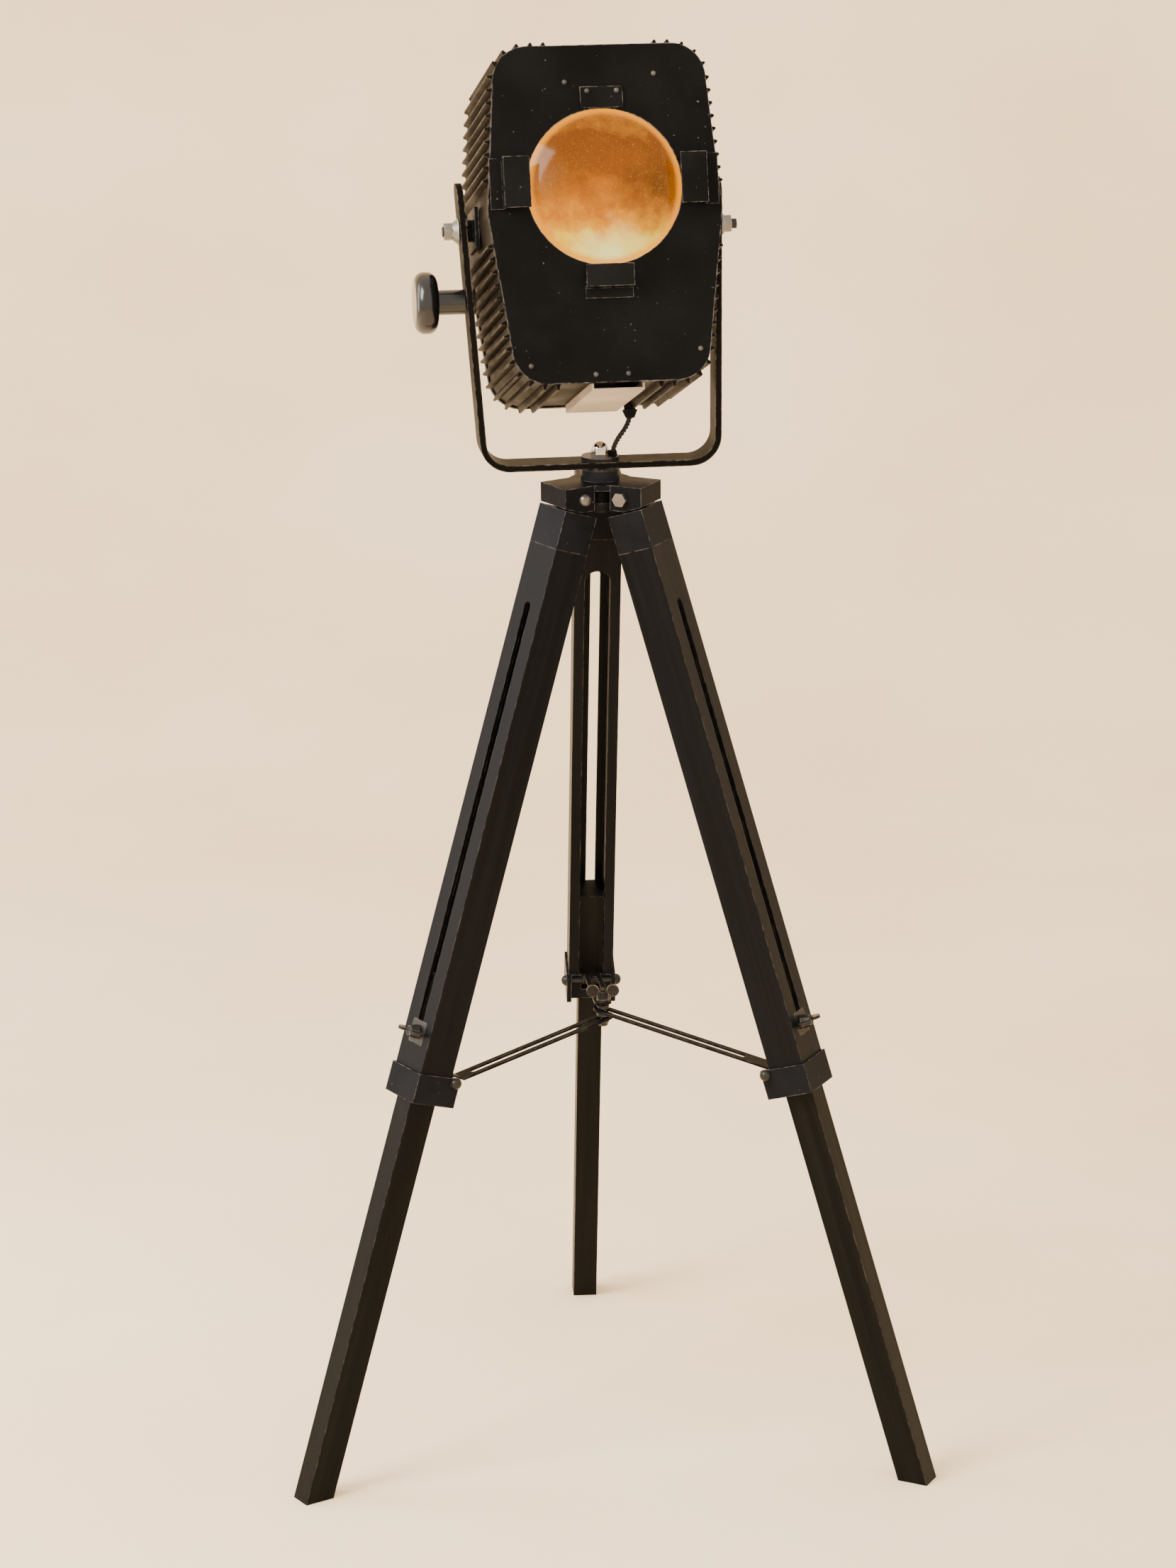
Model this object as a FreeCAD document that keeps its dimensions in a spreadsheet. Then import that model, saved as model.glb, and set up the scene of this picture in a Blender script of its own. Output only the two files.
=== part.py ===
import FreeCAD, Part
import math
import os

# Tripod spotlight floor lamp, millimetres, +Z up, origin on the floor under the
# middle of the lamp's box.  The front of the lamp looks along -Y.

doc = FreeCAD.newDocument("tripod_spotlight")
V = FreeCAD.Vector

# ---------------------------------------------------------------- driving sizes
SIZES = [
    ("splay", 17.87), ("hinge_radius", 34.3), ("hinge_height", 1015.7),
    ("leg_width", 47.8), ("leg_depth", 39.1), ("ferrule_top", 14.8), ("ferrule_end", 54.5),
    ("ferrule_wall", 2.2), ("ferrule_cap", 8.0), ("upper_end", 634.0),
    ("channel_top", 93.0), ("slot_top", 113.0), ("slot_width", 10.0),
    ("bar_width", 25.8), ("bar_depth", 30.8), ("bar_recess", 4.0), ("bar_top", 505.0),
    ("slide_gap", 0.35), ("screw_at", 567.0), ("collar_top", 605.0), ("collar_end", 636.0),
    ("collar_wall", 2.5), ("pin_at", 610.0), ("pin_out", 4.5), ("pin_radius", 2.5),
    ("eye_wall", 2.0), ("fit_gap", 0.05), ("ear_thick", 5.0), ("dome_radius", 6.2),
    ("wing_screw_radius", 3.0), ("clamp_plate_thick", 3.0),
    ("tongue_width", 24.0), ("tongue_gap", 0.3), ("eye_radius", 7.0), ("hinge_bolt_radius", 4.0),
    ("plate_top", 1029.0), ("plate_thick", 6.0), ("lug_width", 46.0), ("lug_reach", 57.0),
    ("lug_bottom", 1003.0), ("hub_radius", 14.0), ("hub_bottom", 1006.3),
    ("pan_bolt_radius", 5.0), ("swivel_radius", 19.5), ("swivel_height", 11.5),
    ("washer_thick", 2.2), ("washer_radius", 20.5), ("top_washer_thick", 4.0),
    ("yoke_thick", 6.5), ("yoke_depth", 34.0), ("yoke_reach", 118.5), ("yoke_bend", 31.0),
    ("yoke_flare", 4.4), ("arm_above_pivot", 48.0), ("pivot_height", 1285.6),
    ("pivot_radius", 5.0), ("pan_rest", 4.3), ("tilt_rest", 18.0),
    ("knob_below", 71.0), ("knob_radius", 31.0), ("knob_thick", 23.0), ("stem_radius", 12.5),
    ("stem_length", 27.0), ("bush_radius", 12.5), ("bush_thick", 2.4),
    ("front_depth", 120.0), ("rear_depth", 110.0), ("face_top", 162.0), ("face_bottom", 168.0),
    ("face_top_half", 102.0), ("face_wide_half", 115.5), ("face_bottom_half", 93.0),
    ("face_corner", 34.0), ("sheet_thick", 2.0), ("rim_depth", 9.0), ("shell_wall", 2.5),
    ("fin_height", 6.5), ("fin_pitch", 12.7), ("fin_base", 6.4), ("fin_tip", 2.0),
    ("plain_top_half", 51.0), ("plain_bottom_half", 44.0), ("plain_side_half", 25.0),
    ("lens_radius", 79.0), ("lens_up", 23.0), ("lens_rise", 22.0), ("lens_edge", 8.0),
    ("clip_width", 50.0), ("strip_width", 18.0), ("strip_thick", 2.5), ("strip_gap", 8.3),
    ("hub_height", 461.2), ("hub_bolt_radius", 2.5), ("slot_clearance", 1.25),
    ("fold_travel", 15.0), ("lead_diameter", 5.4),
]

sheet = doc.addObject("Spreadsheet::Sheet", "Sizes")
for row, (word, number) in enumerate(SIZES, start=1):
    sheet.set("A%d" % row, word)
    sheet.set("B%d" % row, str(number))
    sheet.setAlias("B%d" % row, word)
doc.recompute()


class Numbers:
    """The sheet's values as plain numbers, for places and for shapes made in code."""

    def __getattr__(self, word):
        return float(sheet.get(word))


S = Numbers()


# ---------------------------------------------------------------- small builders
def make(kind, name, at=(0, 0, 0), turn=None, **sizes):
    """A Part primitive whose sizes, and place where given as text, follow the sheet."""
    piece = doc.addObject(kind, name)
    turned = FreeCAD.Rotation(V(*turn[0]), turn[1]) if turn else FreeCAD.Rotation()
    fixed = [0.0 if isinstance(rule, str) else rule for rule in at]
    piece.Placement = FreeCAD.Placement(V(*fixed), turned)
    for size, rule in sizes.items():
        if isinstance(rule, str):
            piece.setExpression(size, rule.replace("@", "Sizes."))
        else:
            setattr(piece, size, rule)
    for axis, rule in zip("xyz", at):
        if isinstance(rule, str):
            piece.setExpression(".Placement.Base." + axis, rule.replace("@", "Sizes."))
    return piece


def box(name, length, width, height, at):
    return make("Part::Box", name, at, Length=length, Width=width, Height=height)


def rod(name, radius, height, at, turn=None):
    return make("Part::Cylinder", name, at, turn, Radius=radius, Height=height)


def join(name, pieces):
    piece = doc.addObject("Part::MultiFuse", name)
    piece.Shapes = pieces
    return piece


def less(name, base, tools):
    tool = tools[0] if len(tools) == 1 else join(name + "_tools", tools)
    piece = doc.addObject("Part::Cut", name)
    piece.Base = base
    piece.Tool = tool
    return piece


def group(name, pieces):
    piece = doc.addObject("Part::Compound", name)
    piece.Links = pieces
    return piece


def coded(name, shape):
    piece = doc.addObject("Part::Feature", name)
    piece.Shape = shape
    return piece


parts = []


def sub_part(label, piece, place=None):
    """Names a finished sub-part and puts it where it belongs on the lamp."""
    piece.Label = label
    piece.Placement = place if place else FreeCAD.Placement()
    parts.append(piece)
    return piece


def plate(name, corners, depth, lift=0.0):
    """A flat outline of (x, y) corners, extruded upward by depth."""
    face = Part.Face(Part.makePolygon([V(x, y, lift) for x, y in corners + corners[:1]]))
    return face.extrude(V(0, 0, depth))


def rounded(corners, radii):
    """A closed wire through corners in the XZ plane, each rounded by its own radius."""
    edges = []
    count = len(corners)
    cuts = []
    for i in range(count):
        here = V(corners[i][0], 0, corners[i][1])
        back = V(corners[i - 1][0], 0, corners[i - 1][1]) - here
        ahead = V(corners[(i + 1) % count][0], 0, corners[(i + 1) % count][1]) - here
        half = back.getAngle(ahead) / 2
        if radii[i] <= 0:
            cuts.append((here, here, here))
            continue
        reach = radii[i] / math.tan(half)
        back.normalize()
        ahead.normalize()
        middle = back + ahead
        middle.normalize()
        centre = here + middle * (radii[i] / math.sin(half))
        cuts.append((here + back * reach, centre - middle * radii[i], here + ahead * reach))
    for i in range(count):
        start, mid, end = cuts[i]
        if radii[i] > 0:
            edges.append(Part.Arc(start, mid, end).toShape())
        edges.append(Part.LineSegment(end, cuts[(i + 1) % count][0]).toShape())
    return Part.Wire(edges)


# ---------------------------------------------------------------- places
splay = math.radians(S.splay)
foot_out = S.hinge_radius + S.hinge_height * math.tan(splay) + S.bar_depth / 2 / math.cos(splay)
axis_y = -(foot_out / 2 - math.cos(math.radians(30)) * S.bar_width / 2) / 2
post = FreeCAD.Placement(V(0, axis_y, 0), FreeCAD.Rotation())
AZIMUTHS = {1: 210.0, 2: 330.0, 3: 90.0}
ALONG_Y = ((1, 0, 0), -90)
ALONG_X = ((0, 1, 0), 90)


def arm_place(number):
    """Local x points outward at a leg's azimuth, z up, from the post axis."""
    return FreeCAD.Placement(V(0, axis_y, 0), FreeCAD.Rotation(V(0, 0, 1), AZIMUTHS[number]))


def leg_place(number):
    """Origin on the hinge bolt, x out of the leg's outward face, z up along the leg."""
    hinge = FreeCAD.Placement(V(S.hinge_radius, 0, S.hinge_height),
                              FreeCAD.Rotation(V(0, 1, 0), -S.splay))
    return arm_place(number).multiply(hinge)


pin_x = -S.leg_depth / 2 - S.pin_out
pin_radial = S.hinge_radius + S.pin_at * math.sin(splay) + pin_x * math.cos(splay)
pin_height = S.hinge_height - S.pin_at * math.cos(splay) + pin_x * math.sin(splay)
rise = math.degrees(math.atan((S.hub_height - pin_height) / pin_radial))
strip_reach = pin_radial / math.cos(math.radians(rise))


def strip_place(number):
    """Origin on the collar pin, x inward and up along the strip."""
    pin = FreeCAD.Placement(V(pin_radial, 0, pin_height), FreeCAD.Rotation(V(0, 0, 1), 180))
    slope = FreeCAD.Placement(V(0, 0, 0), FreeCAD.Rotation(V(0, 1, 0), -rise))
    return arm_place(number).multiply(pin).multiply(slope)


yoke_place = FreeCAD.Placement(V(0, axis_y, 0), FreeCAD.Rotation(V(0, 0, 1), S.pan_rest))
bar_low = S.plate_top + S.swivel_height + S.washer_thick
bar_high = bar_low + S.yoke_thick
lean = math.tan(math.radians(S.yoke_flare))
left_at_pivot = S.yoke_reach + (S.pivot_height - bar_low) * lean
head_shift = (S.yoke_reach - left_at_pivot) / 2
arm_half = (S.yoke_reach + left_at_pivot) / 2
head_place = yoke_place.multiply(FreeCAD.Placement(
    V(head_shift, 0, S.pivot_height), FreeCAD.Rotation(V(1, 0, 0), -S.tilt_rest)))

# ---------------------------------------------------------------- tripod head
# Cast plate with a lug over each leg; each lug is forked and holds a hinge bolt.
pieces = [rod("plate_disc", 32, "@plate_thick", (0, 0, "@plate_top - @plate_thick")),
          rod("plate_hub", "@hub_radius", "@plate_top - @hub_bottom", (0, 0, "@hub_bottom"))]
slots = []
for number, azimuth in AZIMUTHS.items():
    profile = [(0, S.plate_top - S.plate_thick), (S.lug_reach, S.plate_top - S.plate_thick),
               (S.lug_reach, S.plate_top), (0, S.plate_top)]
    lug = [(22, S.lug_bottom), (38, S.lug_bottom), (S.lug_reach, S.lug_bottom + 6.2),
           (S.lug_reach, S.plate_top - 1), (22, S.plate_top - 1)]
    for kind, outline in (("web", profile), ("lug", lug)):
        wall = plate(kind, outline, S.lug_width)
        wall.Placement = FreeCAD.Placement(V(0, S.lug_width / 2, 0), FreeCAD.Rotation(V(1, 0, 0), 90))
        turned = coded("%s_%d" % (kind, number), wall)
        turned.Placement = FreeCAD.Placement(V(0, 0, 0), FreeCAD.Rotation(V(0, 0, 1), azimuth)).multiply(
            FreeCAD.Placement(V(0, S.lug_width / 2, 0), FreeCAD.Rotation(V(1, 0, 0), 90)))
        pieces.append(turned)
    fork = Part.makeBox(23.5, S.tongue_width + 2 * S.tongue_gap, 20.5,
                        V(24, -S.tongue_width / 2 - S.tongue_gap, S.lug_bottom - 0.5))
    hole = Part.makeCylinder(S.hinge_bolt_radius + S.fit_gap, 80, V(S.hinge_radius, -40, S.hinge_height),
                             V(0, 1, 0))
    cutter = coded("fork_%d" % number, fork.fuse(hole))
    cutter.Placement = FreeCAD.Placement(V(0, 0, 0), FreeCAD.Rotation(V(0, 0, 1), azimuth))
    slots.append(cutter)
slots.append(rod("pan_hole", "@pan_bolt_radius + @fit_gap", 60, (0, 0, 990)))
sub_part("head_casting", less("head_casting_cut", join("head_casting_body", pieces), slots), post)

# Hinge bolts: shank, domed head and nut, one through each lug.
bolts = []
for number, azimuth in AZIMUTHS.items():
    shank = Part.makeCylinder(S.hinge_bolt_radius, S.lug_width + 8, V(0, -S.lug_width / 2 - 4, 0), V(0, 1, 0))
    dome = Part.makeSphere(6.5, V(0, 0, 0), V(0, 0, 1), 0, 90, 360)
    dome.rotate(V(0, 0, 0), V(1, 0, 0), -90)
    dome.translate(V(0, S.lug_width / 2, 0))
    nut_face = Part.Face(Part.makePolygon([
        V(7.5 * math.cos(math.radians(60 * i)), 0, 7.5 * math.sin(math.radians(60 * i))) for i in range(7)]))
    nut = nut_face.extrude(V(0, -5, 0))
    nut.translate(V(0, -S.lug_width / 2, 0))
    bolt = shank.fuse([dome, nut]).removeSplitter()
    bolt.Placement = FreeCAD.Placement(V(0, 0, 0), FreeCAD.Rotation(V(0, 0, 1), azimuth)).multiply(
        FreeCAD.Placement(V(S.hinge_radius, 0, S.hinge_height), FreeCAD.Rotation()))
    bolts.append(coded("hinge_bolt_%d" % number, bolt))
sub_part("leg_hinge_bolts", group("hinge_bolts", bolts), post)

# Swivel collar under the yoke, hollow for the lead, and the pan bolt with its cap nut.
sub_part("swivel_collar", less("swivel_ring", rod("swivel_outer", "@swivel_radius", "@swivel_height", (0, 0, "@plate_top")),
                               [rod("swivel_inner", "@swivel_radius - 4", "@swivel_height - 3", (0, 0, "@plate_top")),
                                rod("swivel_bore", "@pan_bolt_radius + @fit_gap", 30, (0, 0, "@plate_top - 5"))]), post)
top_face = bar_high + S.top_washer_thick
sub_part("pan_bolt", join("pan_bolt_body", [
    rod("pan_shank", "@pan_bolt_radius", top_face + 8 - 1000, (0, 0, 1000)),
    rod("pan_flange", "@hub_radius", 9.0, (0, 0, "@hub_bottom - 9")),
]), post)
cap = make("Part::Prism", "cap_hex", (0, 0, top_face), None, Polygon=6, Circumradius=9.6, Height=6.0)
cap_dome = make("Part::Ellipsoid", "cap_dome", (0, 0, top_face + 6), None, Radius1=8.5, Radius2=8.2, Angle1=0.0)
sub_part("pan_cap_nut", less("cap_nut", join("cap_solid", [cap, cap_dome]),
                             [rod("cap_bore", "@pan_bolt_radius + @fit_gap", 8.05, (0, 0, top_face))]), post)

# ---------------------------------------------------------------- three legs
inner_face = "-@leg_depth / 2"
for number in AZIMUTHS:
    tag = "leg_%d_" % number
    place = leg_place(number)
    # Ferrule: painted metal cap with the hinge tongue, over the wood's tenon.
    block = box(tag + "cap", "@leg_depth", "@leg_width", "@ferrule_end - @ferrule_top",
                (inner_face, "-@leg_width / 2", "-@ferrule_end"))
    socket = box(tag + "socket", "@leg_depth - 2 * @ferrule_wall", "@leg_width - 2 * @ferrule_wall",
                 "@ferrule_end - @ferrule_top - @ferrule_cap",
                 ("-@leg_depth / 2 + @ferrule_wall", "-@leg_width / 2 + @ferrule_wall", "-@ferrule_end"))
    neck = box(tag + "neck", "2 * @eye_radius", "@tongue_width", "@ferrule_top + 2",
               ("-@eye_radius", "-@tongue_width / 2", "-@ferrule_top - 2"))
    eye = rod(tag + "eye", "@eye_radius", "@tongue_width", (0, "-@tongue_width / 2", 0), ALONG_Y)
    bore = rod(tag + "bore", "@hinge_bolt_radius + @fit_gap", "@tongue_width + 2",
               (0, "-@tongue_width / 2 - 1", 0), ALONG_Y)
    sub_part(tag + "ferrule", less(tag + "ferrule_cut", join(tag + "ferrule_body", [block, neck, eye]),
                                   [socket, bore]), place)
    # Upper leg: bar with a round-topped channel for the lower leg in its inner face
    # and a narrow slot through its outer wall.
    wood = box(tag + "wood", "@leg_depth", "@leg_width", "@upper_end - @ferrule_end",
               (inner_face, "-@leg_width / 2", "-@upper_end"))
    tenon = box(tag + "tenon", "@leg_depth - 2 * @ferrule_wall", "@leg_width - 2 * @ferrule_wall",
                "@ferrule_end - @ferrule_top - @ferrule_cap",
                ("-@leg_depth / 2 + @ferrule_wall", "-@leg_width / 2 + @ferrule_wall", "-@ferrule_end"))
    half = "(@bar_width / 2 + @slide_gap)"
    deep = "(@bar_recess + @bar_depth + @slide_gap)"
    channel = box(tag + "channel", deep + " + 1", "2 * " + half, "@upper_end - @channel_top - @bar_width / 2 + 1",
                  ("-@leg_depth / 2 - 1", "-" + half, "-@upper_end - 1"))
    channel_end = rod(tag + "channel_end", half, deep + " + 1",
                      ("-@leg_depth / 2 - 1", 0, "-@channel_top - @bar_width / 2"), ALONG_X)
    slot = box(tag + "slot", "@leg_depth", "@slot_width", "@screw_at - @slot_top - @slot_width / 2 - 12",
               (0, "-@slot_width / 2", "-@screw_at + 12"))
    slot_head = rod(tag + "slot_head", "@slot_width / 2", "@leg_depth / 2 + 1",
                    (0, 0, "-@slot_top - @slot_width / 2"), ALONG_X)
    pocket = box(tag + "pocket", "@clamp_plate_thick + 1", 24, 24,
                 ("@leg_depth / 2 - @clamp_plate_thick", -12, "-@screw_at - 12"))
    screw_hole = rod(tag + "screw_hole", "@wing_screw_radius + 0.5", "@leg_depth / 2 + 1",
                     (0, 0, "-@screw_at"), ALONG_X)
    sub_part(tag + "upper", less(tag + "upper_cut", join(tag + "upper_body", [wood, tenon]),
                                 [channel, channel_end, slot, slot_head, pocket, screw_hole]), place)
    # Threaded plate let into the outer wall, and the wing screw that clamps the lower leg.
    insert = box(tag + "insert", "@clamp_plate_thick", 24, 24,
                 ("@leg_depth / 2 - @clamp_plate_thick", -12, "-@screw_at - 12"))
    insert_bore = rod(tag + "insert_bore", "@wing_screw_radius + @fit_gap", 60, (0, 0, "-@screw_at"), ALONG_X)
    sub_part(tag + "clamp_plate", less(tag + "clamp_cut", insert, [insert_bore]), place)
    tip = "(@bar_depth + @bar_recess - @leg_depth / 2)"
    shank = rod(tag + "screw_shank", "@wing_screw_radius", "@leg_depth - @bar_depth - @bar_recess + 9",
                (tip, 0, "-@screw_at"), ALONG_X)
    boss = make("Part::Cone", tag + "screw_boss", ("@leg_depth / 2 + 2", 0, "-@screw_at"), ALONG_X,
                Radius1=7.5, Radius2=5.2, Height=9.0)
    wings = []
    for side in (-1, 1):
        wing = make("Part::Cylinder", tag + "wing_%d" % (side + 1),
                    ("@leg_depth / 2 + 9", 10.5 * side, "-@screw_at - 1.6"), None, Radius=7.0, Height=3.2)
        wings.append(wing)
    sub_part(tag + "wing_screw", join(tag + "wing_screw_body", [shank, boss] + wings), place)
    # Collar: steel band round the upper leg's end, with two ears that carry the strip's pin.
    out = "(@leg_depth / 2 + @collar_wall)"
    side_out = "(@leg_width / 2 + @collar_wall)"
    tall = "@collar_end - @collar_top"
    band = box(tag + "band", "2 * " + out, "2 * " + side_out, tall, ("-" + out, "-" + side_out, "-@collar_end"))
    ears = []
    for side in (-1, 1):
        low = side_out + " - @ear_thick" if side > 0 else "-" + side_out
        ears.append(box(tag + "ear_%d" % (side + 1), "@pin_out + 6", "@ear_thick", tall,
                        ("-@leg_depth / 2 - @pin_out - 6 + 1", low, "-@collar_end")))
    window = box(tag + "window", "@collar_wall + 4", "@strip_width + 3", tall,
                 ("-@leg_depth / 2 - @collar_wall - 2", "-@strip_width / 2 - 1.5", "-@collar_end + 12"))
    inside = box(tag + "inside", "@leg_depth", "@leg_width", "@collar_end - @collar_top + 2",
                 (inner_face, "-@leg_width / 2", "-@collar_end - 1"))
    pin_bore = rod(tag + "pin_bore", "@pin_radius", 80, (pin_x, -40, "-@pin_at"), ALONG_Y)
    sub_part(tag + "collar", less(tag + "collar_cut", join(tag + "collar_body", [band] + ears),
                                  [window, inside, pin_bore]), place)
    reach = S.leg_width / 2 + S.collar_wall
    pin = rod(tag + "pin", "@pin_radius", 2 * reach + 4, (pin_x, -reach - 2, "-@pin_at"), ALONG_Y)
    domes = []
    for side in (-1, 1):
        domes.append(make("Part::Ellipsoid", tag + "dome_%d" % (side + 1), (pin_x, side * reach, "-@pin_at"),
                          ((1, 0, 0), -90 * side), Radius1=6.0, Radius2="@dome_radius", Angle1=0.0))
    sub_part(tag + "collar_pin", join(tag + "collar_pin_body", [pin] + domes), place)
    # Lower leg: plain bar in the channel, cut level with the floor.
    length = S.hinge_height / math.cos(splay) + S.leg_depth
    bar = Part.makeBox(S.bar_depth, S.bar_width, length - S.bar_top,
                       V(-S.leg_depth / 2 + S.bar_recess, -S.bar_width / 2, -length))
    ground = Part.makeBox(2000, 2000, 200, V(-1000, -1000, -200))
    ground.Placement = place.inverse().multiply(ground.Placement)
    sub_part(tag + "lower", coded(tag + "lower_bar", bar.cut(ground)), place)

# ---------------------------------------------------------------- spreader
# Three slotted strips, one per leg: a rolled eye on the collar pin, a small joggle, then a
# straight run at its own level over the hub bolt.
folded = math.radians(S.fold_travel)
dx = pin_radial - S.hinge_radius
dz = S.hinge_height - pin_height
pin_folded = S.hinge_radius + dx * math.cos(folded) - dz * math.sin(folded)
slot_near = pin_folded / math.cos(math.radians(rise)) - 2
for number in AZIMUTHS:
    level = (number - 2) * S.strip_gap * math.cos(math.radians(rise))
    t = S.strip_thick / 2
    end = strip_reach + 10
    top = [(3.4, t), (9, t), (20, level + t), (end, level + t)]
    low = [(end, level - t), (20, level - t), (9, -t), (3.4, -t)]
    blade = plate("strip_%d" % number, top + low, S.strip_width)
    blade.Placement = FreeCAD.Placement(V(0, S.strip_width / 2, 0), FreeCAD.Rotation(V(1, 0, 0), 90))
    eye = Part.makeCylinder(S.pin_radius + S.eye_wall, S.strip_width, V(0, -S.strip_width / 2, 0), V(0, 1, 0))
    bore = Part.makeCylinder(S.pin_radius + S.fit_gap, S.strip_width + 2, V(0, -S.strip_width / 2 - 1, 0),
                             V(0, 1, 0))
    wide = S.hub_bolt_radius + S.slot_clearance
    drift = level * math.tan(math.radians(rise))
    near, far = slot_near + drift - 0.5, strip_reach + drift + 0.5
    gap = Part.makeBox(far - near, 2 * wide, 20, V(near, -wide, level - 10))
    ends = [Part.makeCylinder(wide, 20, V(x, 0, level - 10)) for x in (near, far)]
    nose = Part.makeBox(S.strip_width, S.strip_width, 20, V(end - S.strip_width / 2, -S.strip_width / 2, level - 10))
    nose = nose.cut(Part.makeCylinder(S.strip_width / 2, 20, V(end - S.strip_width / 2, 0, level - 10)))
    strip = blade.fuse(eye).cut(Part.makeCompound([bore])).cut(gap.fuse(ends)).cut(nose).removeSplitter()
    sub_part("spreader_strip_%d" % number, coded("strip_shape_%d" % number, strip), strip_place(number))

# Hub: bolt from below, spacers between the strips and a wing nut on top.
slope = math.tan(math.radians(rise))
half_strip = S.strip_thick / 2 / math.cos(math.radians(rise))
spacer_radius = 6.5
clear = half_strip + spacer_radius * slope + 0.3
hub_low = S.hub_height - S.strip_gap - clear
hub_high = S.hub_height + S.strip_gap + clear
sub_part("hub_bolt", join("hub_bolt_body", [
    rod("hub_shank", "@hub_bolt_radius", hub_high - hub_low + 14, (0, 0, hub_low - 1)),
    rod("hub_flange", spacer_radius, 1.6, (0, 0, hub_low - 1.6)),
    make("Part::Prism", "hub_hex", (0, 0, hub_low - 5.6), None, Polygon=6, Circumradius=5.2, Height=4.0)]), post)
spacers = []
spacer_thick = S.strip_gap - 2 * clear
for step, middle in enumerate((S.hub_height - S.strip_gap / 2, S.hub_height + S.strip_gap / 2, hub_high + 0.9)):
    thick = 1.8 if step == 2 else spacer_thick
    ring = Part.makeCylinder(spacer_radius, thick, V(0, 0, middle - thick / 2))
    spacers.append(coded("spacer_%d" % step, ring.cut(
        Part.makeCylinder(S.hub_bolt_radius + S.fit_gap, thick + 2, V(0, 0, middle - thick / 2 - 1)))))
sub_part("hub_spacers", group("hub_spacer_set", spacers), post)
nut_low = hub_high + 1.8
nut_body = make("Part::Cone", "nut_boss", (0, 0, nut_low), None, Radius1=6.5, Radius2=4.8, Height=8.0)
nut_wings = [make("Part::Cylinder", "nut_wing_%d" % (side + 1), (10.5 * side + 0.0, 1.4, nut_low + 8.5),
                  ((1, 0, 0), 90), Radius=6.5, Height=2.8) for side in (-1, 1)]
nut_bore = rod("nut_bore", "@hub_bolt_radius + @fit_gap", 30, (0, 0, nut_low - 1))
sub_part("hub_wing_nut", less("wing_nut_cut", join("wing_nut_body", [nut_body] + nut_wings), [nut_bore]), post)

# ---------------------------------------------------------------- yoke
lead_x, lead_y = 13.6, 4.0
# Flat steel bar bent to a U; the left arm leans outward, as on the lamp in the picture.
arm_top = S.pivot_height + S.arm_above_pivot
t = S.yoke_thick / 2
left_top = S.yoke_reach + (arm_top - bar_low) * lean
lean_cos = math.cos(math.radians(S.yoke_flare))
outer = [(-left_top - t / lean_cos, arm_top), (-S.yoke_reach - t / lean_cos + t * lean, bar_low),
         (S.yoke_reach + t, bar_low), (S.yoke_reach + t, arm_top)]
inner = [(S.yoke_reach - t, arm_top), (S.yoke_reach - t, bar_high),
         (-S.yoke_reach + t / lean_cos - t * lean, bar_high), (-left_top + t / lean_cos, arm_top)]
bend = S.yoke_bend
outline = rounded(outer + inner, [0, bend, bend, 0, 0, bend - 2 * t, bend - 2 * t, 0])
strap = Part.Face(outline).extrude(V(0, S.yoke_depth, 0))
strap.translate(V(0, -S.yoke_depth / 2, 0))
round_top = Part.makeCylinder(S.yoke_depth / 2, 600, V(-300, 0, arm_top - S.yoke_depth / 2), V(1, 0, 0))
keep_top = Part.makeBox(600, S.yoke_depth + 2, arm_top - S.yoke_depth / 2 - bar_low + 10,
                        V(-300, -S.yoke_depth / 2 - 1, bar_low - 10))
strap = strap.common(round_top.fuse(keep_top))
knob_height = S.pivot_height - S.knob_below
knob_arm = S.yoke_reach + (knob_height - bar_low) * lean
stem_bore = 5.0
holes = [Part.makeCylinder(S.pivot_radius + S.fit_gap, 600, V(-300, 0, S.pivot_height), V(1, 0, 0)),
         Part.makeCylinder(S.pan_bolt_radius + S.fit_gap, 40, V(0, 0, bar_low - 10)),
         Part.makeCylinder(stem_bore + S.fit_gap, 60, V(-knob_arm - 30, 0, knob_height), V(1, 0, 0)),
         Part.makeCylinder(4.2, 40, V(lead_x, lead_y, bar_low - 10))]
for hole in holes:
    strap = strap.cut(hole)
sub_part("yoke_bar", coded("yoke_strap", strap.removeSplitter()), yoke_place)
washers = []
for step, (low, thick, radius) in enumerate(((bar_low - S.washer_thick, S.washer_thick, S.washer_radius),
                                            (bar_high, S.top_washer_thick, 19.0))):
    disc = Part.makeCylinder(radius, thick, V(0, 0, low))
    disc = disc.cut(Part.makeCylinder(S.pan_bolt_radius + S.fit_gap, 20, V(0, 0, low - 5)))
    disc = disc.cut(Part.makeCylinder(4.2, 20, V(lead_x, lead_y, low - 5)))
    washers.append(coded("pan_washer_%d" % step, disc))
sub_part("pan_washers", group("pan_washer_set", washers), yoke_place)
# Grommet where the lead goes into the swivel, beside the cap nut.
grommet_low = bar_low - S.washer_thick
grommet_high = bar_high + S.top_washer_thick + 3.5
grommet = Part.makeCylinder(4.2, grommet_high - grommet_low, V(lead_x, lead_y, grommet_low))
grommet = grommet.cut(Part.makeCylinder(S.lead_diameter / 2 + 0.6, 6, V(lead_x, lead_y, grommet_high - 3)))
sub_part("lead_grommet", coded("grommet", grommet), yoke_place)
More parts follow.
